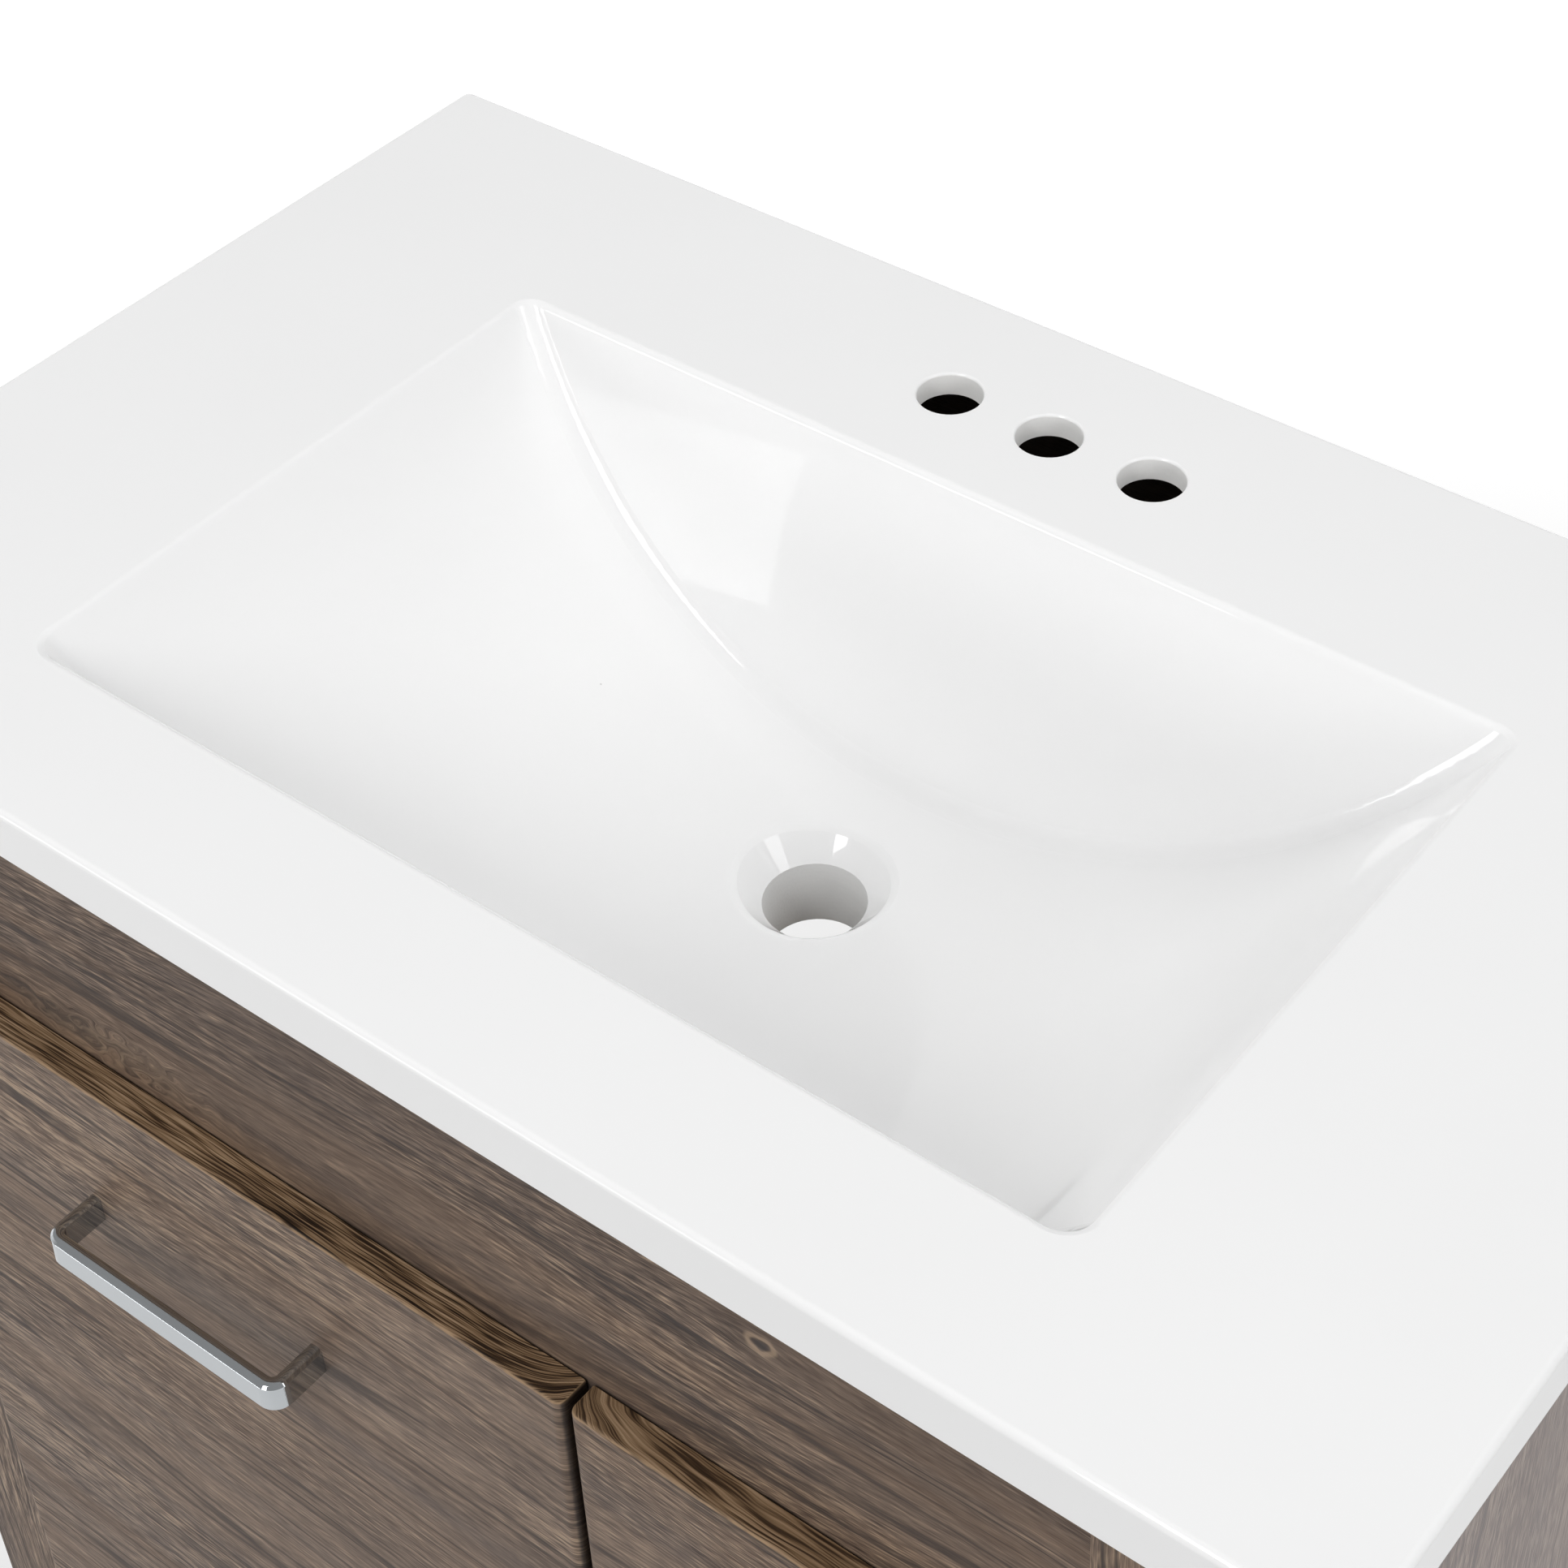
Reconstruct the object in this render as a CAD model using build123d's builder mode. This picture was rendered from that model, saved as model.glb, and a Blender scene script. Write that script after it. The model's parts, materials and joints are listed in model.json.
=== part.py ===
from build123d import *
import os
from math import cos, radians, tan

# Bathroom vanity: a one-piece cast sink top on a face-frame cabinet with one hinged door and two drawers.
# Millimetres. +Z is up, the fronts face -Y, and the origin is on the floor under the middle of the whole.

# Sink top
top_width = 774.7
top_depth = 476.25
top_edge = 25.4  # height of the drop edge
edge_lip = 22.0  # width of the drop edge
deck_thickness = 11.0
top_round = 3.0
top_corner = 4.0

# Basin: a trough with an arched floor, closed by a leaning rear and front wall
basin_width = 491.0
basin_setback = 116.0  # from the back edge of the top to the rear rim
basin_land = 70.75  # from the front rim to the front edge of the top
basin_depth = 127.0
basin_wall = 10.0
rear_lean = 20.8  # degrees from upright
front_lean = 14.0
rear_crease = 9.0
front_crease = 12.0
rim_round = 3.5

# Drain and faucet holes
drain_setback = 231.0
drain_bore = 44.0
drain_seat = 64.0
drain_seat_depth = 11.5
drain_length = 33.0
drain_boss = 78.0
drain_round = 5.0
funnel_overcut = 16.0  # how far the funnel's cutter stands above the basin floor
faucet_setback = 65.3
faucet_pitch = 50.8
faucet_bore = 28.6
faucet_count = 3
faucet_round = 1.2

# Cabinet
total_height = 870.0
side_overhang = 7.0
front_overhang = 7.0
board = 15.0
dado = 6.0
frame_thickness = 19.0
stile_show = 73.0  # width of stile beside the fronts
plinth_height = 100.0
toe_recess = 65.0
back_rail_height = 95.0
corner_leg = 62.0
corner_height = 20.0
tenon_length = 10.0
tenon_thickness = 8.0
tenon_shoulder = 12.0
bowl_clearance = 8.0

# Fronts
front_drop = 132.0  # from the top's surface to the upper edge of the fronts
front_base = 35.0  # bottom rail seen under the fronts
front_thickness = 14.0
front_gap = 1.0  # between the frame and the back of a front
front_overlay = 12.7
front_round = 1.6  # upper and lower edges
front_side_round = 4.5  # upright edges
reveal = 3.0  # gap between neighbouring fronts
door_share = 0.636  # of the width that the fronts cover

# Bar pulls
pull_side_gap = 10.475  # from the sides of a drawer box to the middle of the pull's screws
pull_reach = 26.8
pull_height = 13.5
pull_foot = 6.2  # thickness along its lower edge
pull_crest = 5.8  # thickness along its upper edge
pull_bend = 5.4
pull_crown = 0.5  # how far its upper side swells
pull_bevel = 1.2
pull_arris = 0.4
pull_drop = 78.0  # from the upper edge of a front
screw_shank = 3.0
screw_hole = 4.0
screw_head = 7.0
screw_head_height = 2.2
screw_bite = 12.0  # length inside the pull

# Drawer boxes
box_board = 12.0
box_bottom = 6.0
box_groove = 6.0
box_groove_rise = 10.0
box_top_gap = 60.0
box_bottom_gap = 22.0
box_back_gap = 42.0
groove_slack = 0.2

# Telescopic slides, three members a side
slide_width = 12.7
slide_height = 45.0
slide_sheet = 1.2
slide_gap = 0.5
slide_lap = 2.5  # how far each inner member stands out of the one around it
slide_rise = 65.0
slide_setback = 3.0
slide_hole = 6.0
slide_hole_inset = 40.0

# Door hinges with a barrel at the edge of the door
hinge_length = 64.0
hinge_inset = 60.0
knuckle = 7.0
hinge_pin = 3.6
pin_slack = 0.1
pin_cap = 5.2
pin_cap_height = 1.6
leaf_sheet = 1.5
leaf_width = 27.0
leaf_corner = 4.0
leaf_screw_set = 18.0  # from the hinge axis to the screws
knuckle_share = 16.0  # length of each outer knuckle
knuckle_gap = 0.4
hinge_edge_gap = 0.8
hinge_screw = 3.5
hinge_screw_head = 6.6
hinge_screw_crown = 0.8
hinge_screw_length = 11.0
hinge_screw_pitch = 40.0

# Rubber bumpers behind the fronts
bumper = 8.0
bumper_gap = 0.3

# Levels and planes that the pieces share
reach = top_depth - front_overhang + front_gap + front_thickness + pull_reach
y_wall = reach / 2
y_frame = y_wall - top_depth + front_overhang
y_frame_back = y_frame + frame_thickness
y_front_back = y_frame - front_gap
y_front_face = y_front_back - front_thickness
y_top_middle = y_wall - top_depth / 2
basin_length = top_depth - basin_setback - basin_land
y_back_rail = y_wall - board
z_top = total_height
z_cabinet = z_top - top_edge
z_front_top = z_top - front_drop
z_front_base = plinth_height + front_base
z_rail_low = z_front_top - front_overlay
z_sill = z_front_base + front_overlay
z_floor_panel = plinth_height + board
z_partition = z_top - basin_depth - basin_wall - bowl_clearance
cabinet_half = top_width / 2 - side_overhang
inside_half = cabinet_half - board
stile_width = stile_show + front_overlay
opening_half = cabinet_half - stile_width
x_fronts = cabinet_half - stile_show
x_door_right = -x_fronts + 2 * x_fronts * door_share
x_drawer_left = x_door_right + reveal
x_mullion_left = x_door_right - front_overlay
x_mullion_right = x_drawer_left + front_overlay
x_bay = (x_mullion_right, opening_half)
x_box = (x_bay[0] + slide_width, x_bay[1] - slide_width)
inner_x = (x_box[0] + box_board, x_box[1] - box_board)
pull_centres = inner_x[1] - inner_x[0] - 2 * pull_side_gap
drawer_height = (z_front_top - z_front_base - reveal) / 2

os.makedirs("parts", exist_ok=True)


def write(piece, name):
    """Labels a finished piece and writes its file."""
    piece.part.label = name
    export_step(piece.part, f"parts/{name}.step")


def slab(x, y, z, mode=Mode.ADD):
    """A flat board between two values on each axis, in the part that is being built."""
    with Locations(((x[0] + x[1]) / 2, (y[0] + y[1]) / 2, (z[0] + z[1]) / 2)):
        Box(x[1] - x[0], y[1] - y[0], z[1] - z[0], mode=mode)


def bowl(grow, level, rear_radius, front_radius):
    """The basin's form, grown outwards by a wall and cut off at a level."""
    half = basin_width / 2
    arch = (half**2 + basin_depth**2) / (2 * basin_depth)
    z_low = z_top - 2 * basin_depth
    y_rear = y_wall - basin_setback + grow / cos(radians(rear_lean))
    y_front = y_wall - basin_setback - basin_length - grow / cos(radians(front_lean))
    rear_slope = tan(radians(rear_lean))
    front_slope = tan(radians(front_lean))
    corners = [
        (y_rear + (level - z_top) * rear_slope, level),
        (y_rear + (z_low - z_top) * rear_slope, z_low),
        (y_front - (z_low - z_top) * front_slope, z_low),
        (y_front - (level - z_top) * front_slope, level),
    ]
    with BuildPart() as form:
        with BuildSketch(Plane.YZ):
            with BuildLine():
                Polyline(*corners, close=True)
            make_face()
        extrude(amount=top_width / 2, both=True)
        with BuildSketch(Plane.XZ):
            with Locations((0, z_top - basin_depth + arch)):
                Circle(arch + grow)
        extrude(amount=2 * top_depth, both=True, mode=Mode.INTERSECT)
        creases = form.edges().filter_by(GeomType.ELLIPSE).sort_by(Axis.Y)
        fillet(creases[-1], rear_radius)
        creases = form.edges().filter_by(GeomType.ELLIPSE).sort_by(Axis.Y)
        fillet(creases[0], front_radius)
    return form.part


# Sink top
z_drain_rim = z_top - basin_depth - drain_seat_depth
y_drain = y_wall - drain_setback
seat_flare = (drain_seat - drain_bore) / 2 / drain_seat_depth
seat_cut = drain_seat_depth + funnel_overcut
outer_bowl = bowl(basin_wall, z_top - deck_thickness / 2, rear_crease + basin_wall, front_crease + basin_wall)
inner_bowl = bowl(0, z_top + top_edge, rear_crease, front_crease)
with BuildPart() as sink_top:
    with BuildSketch(Plane.XY.offset(z_cabinet)):
        with Locations((0, y_top_middle)):
            RectangleRounded(top_width, top_depth, top_corner)
    extrude(amount=top_edge)
    upper_edges = sink_top.faces().sort_by(Axis.Z)[-1].edges()
    fillet(upper_edges, top_round)
    with BuildSketch(Plane.XY.offset(z_cabinet)):
        with Locations((0, y_top_middle)):
            RectangleRounded(top_width - 2 * edge_lip, top_depth - 2 * edge_lip, edge_lip / 2)
    extrude(amount=top_edge - deck_thickness, mode=Mode.SUBTRACT)
    add(outer_bowl)
    with BuildSketch(Plane.XY.offset(z_drain_rim - drain_length)):
        with Locations((0, y_drain)):
            Circle(drain_boss / 2)
    extrude(amount=drain_length + drain_seat_depth)
    add(inner_bowl, mode=Mode.SUBTRACT)
    rim = sink_top.faces().sort_by(Axis.Z)[-1].inner_wires()[0].edges()
    fillet(rim, rim_round)
    with BuildSketch(Plane.XY.offset(z_drain_rim)):
        with Locations((0, y_drain)):
            Circle(drain_bore / 2)
    extrude(amount=-drain_length, mode=Mode.SUBTRACT)
    with Locations((0, y_drain, z_drain_rim)):
        Cone(
            drain_bore / 2,
            drain_bore / 2 + seat_cut * seat_flare,
            seat_cut,
            align=(Align.CENTER, Align.CENTER, Align.MIN),
            mode=Mode.SUBTRACT,
        )
    funnel_edge = sink_top.edges(Select.LAST).sort_by(Axis.Z)[-1]
    fillet(funnel_edge, drain_round)
    with BuildSketch(Plane.XY.offset(z_top)):
        with Locations((0, y_wall - faucet_setback)):
            with GridLocations(faucet_pitch, 0, faucet_count, 1):
                Circle(faucet_bore / 2)
    extrude(amount=-deck_thickness, mode=Mode.SUBTRACT)
    hole_rims = sink_top.faces().sort_by(Axis.Z)[-1].inner_wires()
    fillet([w.edges()[0] for w in hole_rims if len(w.edges()) == 1], faucet_round)
write(sink_top, "sink_top")


# Face frame
def tenon(side, z, slack=0.0, mode=Mode.ADD):
    """The stub tenon of a rail, or with slack the mortise for it, at one side of the openings."""
    y_middle = y_frame + frame_thickness / 2
    half = tenon_thickness / 2 + slack
    ends = sorted((side * opening_half, side * (opening_half + tenon_length + slack)))
    slab(
        ends,
        (y_middle - half, y_middle + half),
        (z[0] + tenon_shoulder - slack, z[1] - tenon_shoulder + slack),
        mode,
    )


top_rail_z = (z_rail_low, z_cabinet)
bottom_rail_z = (plinth_height, z_sill)
frame_y = (y_frame, y_frame_back)
for name, z in (("top_rail", top_rail_z), ("bottom_rail", bottom_rail_z)):
    with BuildPart() as rail:
        slab((-opening_half, opening_half), frame_y, z)
        for side in (-1, 1):
            tenon(side, z)
    write(rail, name)

with BuildPart() as mullion:
    slab((x_mullion_left, x_mullion_right), frame_y, (z_sill, z_rail_low))
write(mullion, "mullion")

z_split = z_front_base + drawer_height + reveal / 2
drawer_rail_half = reveal / 2 + front_overlay
with BuildPart() as drawer_rail:
    slab((x_mullion_right, opening_half), frame_y, (z_split - drawer_rail_half, z_split + drawer_rail_half))
write(drawer_rail, "drawer_rail")

# Hinge axis, just outside the hinged edge of the door
x_hinge = -x_fronts - hinge_edge_gap - knuckle / 2
y_hinge = y_front_back - knuckle / 2
hinge_heights = (z_front_base + hinge_inset, z_front_top - hinge_inset)
screw_heights = [h + s * hinge_screw_pitch / 2 for h in hinge_heights for s in (-1, 1)]
x_wing_screw = x_hinge - leaf_screw_set
x_leaf_screw = x_hinge + leaf_screw_set

for name, side in (("stile_left", -1), ("stile_right", 1)):
    with BuildPart() as stile:
        slab(sorted((side * opening_half, side * cabinet_half)), frame_y, (0, z_cabinet))
        for z in (top_rail_z, bottom_rail_z):
            tenon(side, z, groove_slack, Mode.SUBTRACT)
        if side < 0:
            with Locations(*[(x_wing_screw, y_frame, h) for h in screw_heights]):
                Cylinder(
                    hinge_screw / 2,
                    hinge_screw_length,
                    rotation=(-90, 0, 0),
                    align=(Align.CENTER, Align.CENTER, Align.MIN),
                    mode=Mode.SUBTRACT,
                )
    write(stile, name)

# Carcass
carcass_y = (y_frame_back, y_wall)
for name, side in (("side_panel_left", -1), ("side_panel_right", 1)):
    with BuildPart() as side_panel:
        slab(sorted((side * inside_half, side * cabinet_half)), carcass_y, (0, z_cabinet))
        slab(
            sorted((side * inside_half, side * (inside_half + dado + groove_slack))),
            carcass_y,
            (plinth_height, z_floor_panel),
            Mode.SUBTRACT,
        )
    write(side_panel, name)

with BuildPart() as bottom_panel:
    slab((-inside_half - dado, inside_half + dado), carcass_y, (plinth_height, z_floor_panel))
write(bottom_panel, "bottom_panel")

with BuildPart() as toe_board:
    toe_y = (y_frame + toe_recess, y_frame + toe_recess + board)
    slab((-inside_half, inside_half), toe_y, (0, plinth_height))
write(toe_board, "toe_board")

back_y = (y_back_rail, y_wall)
with BuildPart() as back_rail_top:
    slab((-inside_half, inside_half), back_y, (z_cabinet - back_rail_height, z_cabinet))
write(back_rail_top, "back_rail_top")

with BuildPart() as back_rail_bottom:
    slab((-inside_half, inside_half), back_y, (z_floor_panel, z_floor_panel + back_rail_height))
write(back_rail_bottom, "back_rail_bottom")

partition_y = (y_frame_back, y_back_rail)
with BuildPart() as partition:
    slab((x_mullion_right - board, x_mullion_right), partition_y, (z_floor_panel, z_partition))
write(partition, "drawer_bay_partition")

with BuildPart() as bay_side:
    slab((opening_half, opening_half + board), partition_y, (z_floor_panel, z_partition))
write(bay_side, "drawer_bay_side")

with BuildPart() as corner_blocks:
    for x_side in (-1, 1):
        for y_corner, y_side in ((y_frame_back, 1), (y_back_rail, -1)):
            with BuildSketch(Plane.XY.offset(z_cabinet - corner_height)):
                with BuildLine():
                    Polyline(
                        (x_side * inside_half, y_corner),
                        (x_side * (inside_half - corner_leg), y_corner),
                        (x_side * inside_half, y_corner + y_side * corner_leg),
                        close=True,
                    )
                make_face()
    extrude(amount=corner_height)
write(corner_blocks, "corner_blocks")


# Fronts, pulls and their screws
def front_panel(x, z, screw_x, screw_z):
    """A slab front with a rounded face and the two holes of its pull."""
    with BuildPart() as panel:
        slab(x, (y_front_face, y_front_back), z)
        fillet(panel.edges().filter_by(Axis.Z).group_by(Axis.Y)[0], front_side_round)
        ends = panel.faces().filter_by(Axis.Z)
        fillet([e for f in ends for e in f.edges().sort_by(Axis.Y)[:-1]], front_round)
        with Locations(*[(s, y_front_face, screw_z) for s in screw_x]):
            Cylinder(
                screw_hole / 2,
                front_thickness,
                rotation=(-90, 0, 0),
                align=(Align.CENTER, Align.CENTER, Align.MIN),
                mode=Mode.SUBTRACT,
            )
    return panel


def bar_pull(x_centre, z_centre, name):
    """A bent bar with a swelling upper side, a bevel and a leaning outer face, tapped in each foot."""
    half = pull_centres / 2
    y_bar = y_front_face - pull_reach + pull_foot - pull_crest / 2
    z_low = z_centre - pull_height / 2
    inner = pull_crest / 2
    outer = -pull_crest / 2
    shoulder = pull_height - pull_crown
    with BuildPart() as pull:
        with BuildLine() as path:
            FilletPolyline(
                (x_centre - half, y_front_face, z_low),
                (x_centre - half, y_bar, z_low),
                (x_centre + half, y_bar, z_low),
                (x_centre + half, y_front_face, z_low),
                radius=pull_bend,
            )
        foot_plane = Plane((x_centre - half, y_front_face, z_low), x_dir=(1, 0, 0), z_dir=(0, -1, 0))
        with BuildSketch(foot_plane) as section:
            with BuildLine():
                ThreePointArc(
                    (inner, shoulder),
                    ((inner + outer + pull_bevel) / 2, pull_height),
                    (outer + pull_bevel, shoulder),
                )
                Polyline(
                    (outer + pull_bevel, shoulder),
                    (outer, shoulder - pull_bevel),
                    (inner - pull_foot, 0),
                    (inner, 0),
                    (inner, shoulder),
                )
            make_face()
            fillet(section.vertices(), pull_arris)
        sweep(path=path.wires()[0])
        with Locations(*[(x_centre + s * half, y_front_face, z_centre) for s in (-1, 1)]):
            Cylinder(
                screw_shank / 2,
                screw_bite,
                rotation=(90, 0, 0),
                align=(Align.CENTER, Align.CENTER, Align.MIN),
                mode=Mode.SUBTRACT,
            )
    write(pull, name)


def pull_screws(x_centre, z_centre, y_inside, name):
    """Two pan-head screws that pass the front from inside and end in the feet of the pull."""
    with BuildPart() as screws:
        for s in (-1, 1):
            with BuildSketch(Plane((x_centre + s * pull_centres / 2, y_inside, z_centre), z_dir=(0, -1, 0))):
                Circle(screw_shank / 2)
            extrude(amount=y_inside - y_front_face + screw_bite)
            with BuildSketch(Plane((x_centre + s * pull_centres / 2, y_inside, z_centre), z_dir=(0, 1, 0))):
                Circle(screw_head / 2)
            extrude(amount=screw_head_height)
    write(screws, name)


def bumpers(spots, name):
    """Thin rubber discs on the back of a front."""
    with BuildPart() as discs:
        with Locations(*[(x, y_front_back, z) for x, z in spots]):
            Cylinder(
                bumper / 2,
                front_gap - bumper_gap,
                rotation=(-90, 0, 0),
                align=(Align.CENTER, Align.CENTER, Align.MIN),
            )
    write(discs, name)


# Door
door_middle = (-x_fronts + x_door_right) / 2
door_pull_z = z_front_top - pull_drop
screw_x = [door_middle + s * pull_centres / 2 for s in (-1, 1)]
door = front_panel((-x_fronts, x_door_right), (z_front_base, z_front_top), screw_x, door_pull_z)
with BuildPart() as door_panel:
    add(door.part)
    for h in hinge_heights:
        slab(
            (-x_fronts, x_hinge + leaf_width + groove_slack),
            (y_front_back - leaf_sheet - pin_slack, y_front_back),
            (h - hinge_length / 2 - groove_slack, h + hinge_length / 2 + groove_slack),
            Mode.SUBTRACT,
        )
    with Locations(*[(x_leaf_screw, y_front_back, h) for h in screw_heights]):
        Cylinder(
            hinge_screw / 2,
            hinge_screw_length,
            rotation=(90, 0, 0),
            align=(Align.CENTER, Align.CENTER, Align.MIN),
            mode=Mode.SUBTRACT,
        )
write(door_panel, "door_panel")
bar_pull(door_middle, door_pull_z, "door_pull")
pull_screws(door_middle, door_pull_z, y_front_back, "door_pull_screws")
edge_inset = front_overlay / 2
door_spots = [(x_door_right - edge_inset, z) for z in (z_front_base + edge_inset, z_front_top - edge_inset)]
bumpers(door_spots, "door_bumpers")


# Hinges
def knuckles(low, high):
    """A length of barrel on the hinge axis, bored for the pin."""
    with BuildPart() as barrel:
        with BuildSketch(Plane.XY.offset(low)):
            with Locations((x_hinge, y_hinge)):
                Circle(knuckle / 2)
        extrude(amount=high - low)
    return barrel.part


def pin_bore(low, high):
    """Cuts the pin's bore through a leaf, in the part that is being built."""
    with Locations((x_hinge, y_hinge, low)):
        Cylinder(
            hinge_pin / 2 + pin_slack,
            high - low,
            align=(Align.CENTER, Align.CENTER, Align.MIN),
            mode=Mode.SUBTRACT,
        )


clear_of_barrel = knuckle / 2 + knuckle_gap
with BuildPart() as frame_leaves:
    for h in hinge_heights:
        low, high = h - hinge_length / 2, h + hinge_length / 2
        wing_y = (y_frame - leaf_sheet, y_frame)
        slab((x_hinge - leaf_width, x_hinge - clear_of_barrel), wing_y, (low, high))
        for start, end in ((low, low + knuckle_share), (high - knuckle_share, high)):
            slab((x_hinge - clear_of_barrel, x_hinge), wing_y, (start, end))
            add(knuckles(start, end))
        pin_bore(low, high)
    with Locations(*[(x_wing_screw, y_frame, h) for h in screw_heights]):
        Cylinder(
            hinge_screw / 2,
            leaf_sheet,
            rotation=(90, 0, 0),
            align=(Align.CENTER, Align.CENTER, Align.MIN),
            mode=Mode.SUBTRACT,
        )
    fillet(frame_leaves.edges().filter_by(Axis.Y).group_by(Axis.X)[0], leaf_corner)
write(frame_leaves, "hinge_frame_leaves")

with BuildPart() as door_leaves:
    for h in hinge_heights:
        low, high = h - hinge_length / 2, h + hinge_length / 2
        start, end = low + knuckle_share + knuckle_gap, high - knuckle_share - knuckle_gap
        leaf_y = (y_front_back - leaf_sheet, y_front_back)
        slab((x_hinge + clear_of_barrel, x_hinge + leaf_width), leaf_y, (low, high))
        slab((x_hinge, x_hinge + clear_of_barrel), leaf_y, (start, end))
        add(knuckles(start, end))
        pin_bore(start, end)
    with Locations(*[(x_leaf_screw, y_front_back, h) for h in screw_heights]):
        Cylinder(
            hinge_screw / 2,
            leaf_sheet,
            rotation=(90, 0, 0),
            align=(Align.CENTER, Align.CENTER, Align.MIN),
            mode=Mode.SUBTRACT,
        )
    fillet(door_leaves.edges().filter_by(Axis.Y).group_by(Axis.X)[-1], leaf_corner)
write(door_leaves, "hinge_door_leaves")

with BuildPart() as hinge_pins:
    for h in hinge_heights:
        with BuildSketch(Plane.XY.offset(h - hinge_length / 2)):
            with Locations((x_hinge, y_hinge)):
                Circle(hinge_pin / 2)
        extrude(amount=hinge_length)
        for end, way in ((h - hinge_length / 2, -1), (h + hinge_length / 2, 1)):
            with BuildSketch(Plane.XY.offset(end)):
                with Locations((x_hinge, y_hinge)):
                    Circle(pin_cap / 2)
            extrude(amount=way * pin_cap_height)
write(hinge_pins, "hinge_pins")


def hinge_screws(x, y, way, name):
    """Pan-head screws of the hinge leaves, pointing along +Y or -Y from the leaf's outer face."""
    with BuildPart() as screws:
        for h in screw_heights:
            with BuildSketch(Plane((x, y, h), z_dir=(0, way, 0))):
                Circle(hinge_screw / 2)
            extrude(amount=hinge_screw_length)
            with BuildSketch(Plane((x, y, h), z_dir=(0, -way, 0))):
                Circle(hinge_screw_head / 2)
            extrude(amount=hinge_screw_crown)
    write(screws, name)


hinge_screws(x_wing_screw, y_frame - leaf_sheet, 1, "hinge_frame_screws")
hinge_screws(x_leaf_screw, y_front_back, -1, "hinge_door_screws")


# Drawers and their slides
y_box = (y_front_back, y_back_rail - box_back_gap)
y_slide = (y_frame + slide_setback, y_box[1])
y_slide_middle = (y_slide[0] + y_slide[1]) / 2
slide_hole_spots = (y_slide[0] + slide_hole_inset, y_slide_middle, y_slide[1] - slide_hole_inset)
drawer_middle = (x_drawer_left + x_fronts) / 2
drawer_bases = {"upper": z_front_base + drawer_height + reveal, "lower": z_front_base}


def channel(x_web, way, depth, height, z):
    """A folded steel channel along the slide, its web at x_web and its lips pointing along way."""
    flat = depth / 2 * way
    with BuildPart() as member:
        with BuildSketch(Plane.XZ.offset(-y_slide[0])):
            with Locations((x_web + flat, z)):
                Rectangle(depth, height)
            with Locations((x_web + flat + slide_sheet * way, z)):
                Rectangle(depth, height - 2 * slide_sheet, mode=Mode.SUBTRACT)
        extrude(amount=y_slide[0] - y_slide[1])
        with Locations(*[(x_web, y, z) for y in slide_hole_spots]):
            Cylinder(slide_hole / 2, 2 * slide_sheet, rotation=(0, 90, 0), mode=Mode.SUBTRACT)
    return member.part


outer_depth = slide_width - 2 * slide_lap
middle_web = slide_sheet + slide_gap
middle_depth = slide_width - slide_lap - middle_web
middle_height = slide_height - 2 * slide_sheet - 2 * slide_gap
inner_depth = slide_width - middle_web - slide_sheet - slide_gap
inner_height = middle_height - 2 * slide_sheet - 2 * slide_gap

for place, base in drawer_bases.items():
    crown = base + drawer_height
    z_box = (base + box_bottom_gap, crown - box_top_gap)
    z_groove = (z_box[0] + box_groove_rise, z_box[0] + box_groove_rise + box_bottom)
    z_pull = crown - pull_drop
    z_slide = z_box[0] + slide_rise
    screw_x = [drawer_middle + s * pull_centres / 2 for s in (-1, 1)]
    groove_x = (inner_x[0] - box_groove, inner_x[1] + box_groove)
    groove_y = (y_box[0] + box_board - box_groove, y_box[1] - box_board + box_groove)

    drawer_front = front_panel((x_drawer_left, x_fronts), (base, crown), screw_x, z_pull)
    write(drawer_front, f"{place}_drawer_front")
    bar_pull(drawer_middle, z_pull, f"{place}_drawer_pull")
    pull_screws(drawer_middle, z_pull, y_box[0] + box_board, f"{place}_drawer_pull_screws")
    spots = [(x, crown - edge_inset) for x in (x_drawer_left + edge_inset, x_fronts - edge_inset)]
    bumpers(spots, f"{place}_drawer_bumpers")

    for name, x in (("side_left", (x_box[0], inner_x[0])), ("side_right", (inner_x[1], x_box[1]))):
        with BuildPart() as box_side:
            slab(x, y_box, z_box)
            slab(groove_x, groove_y, z_groove, Mode.SUBTRACT)
        write(box_side, f"{place}_drawer_{name}")

    with BuildPart() as box_front:
        slab(inner_x, (y_box[0], y_box[0] + box_board), z_box)
        slab(groove_x, groove_y, z_groove, Mode.SUBTRACT)
        with Locations(*[(s, y_box[0], z_pull) for s in screw_x]):
            Cylinder(
                screw_hole / 2,
                box_board,
                rotation=(-90, 0, 0),
                align=(Align.CENTER, Align.CENTER, Align.MIN),
                mode=Mode.SUBTRACT,
            )
    write(box_front, f"{place}_drawer_box_front")

    with BuildPart() as box_back:
        slab(inner_x, (y_box[1] - box_board, y_box[1]), z_box)
        slab(groove_x, groove_y, z_groove, Mode.SUBTRACT)
    write(box_back, f"{place}_drawer_box_back")

    with BuildPart() as drawer_bottom:
        slab(groove_x, groove_y, z_groove)
    write(drawer_bottom, f"{place}_drawer_bottom")

    with BuildPart() as outer_members:
        add(channel(x_bay[0], 1, outer_depth, slide_height, z_slide))
        add(channel(x_bay[1], -1, outer_depth, slide_height, z_slide))
    write(outer_members, f"{place}_slide_outer")

    with BuildPart() as middle_members:
        add(channel(x_bay[0] + middle_web, 1, middle_depth, middle_height, z_slide))
        add(channel(x_bay[1] - middle_web, -1, middle_depth, middle_height, z_slide))
    write(middle_members, f"{place}_slide_middle")

    with BuildPart() as inner_members:
        add(channel(x_box[0], -1, inner_depth, inner_height, z_slide))
        add(channel(x_box[1], 1, inner_depth, inner_height, z_slide))
    write(inner_members, f"{place}_slide_inner")
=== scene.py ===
import json

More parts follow.
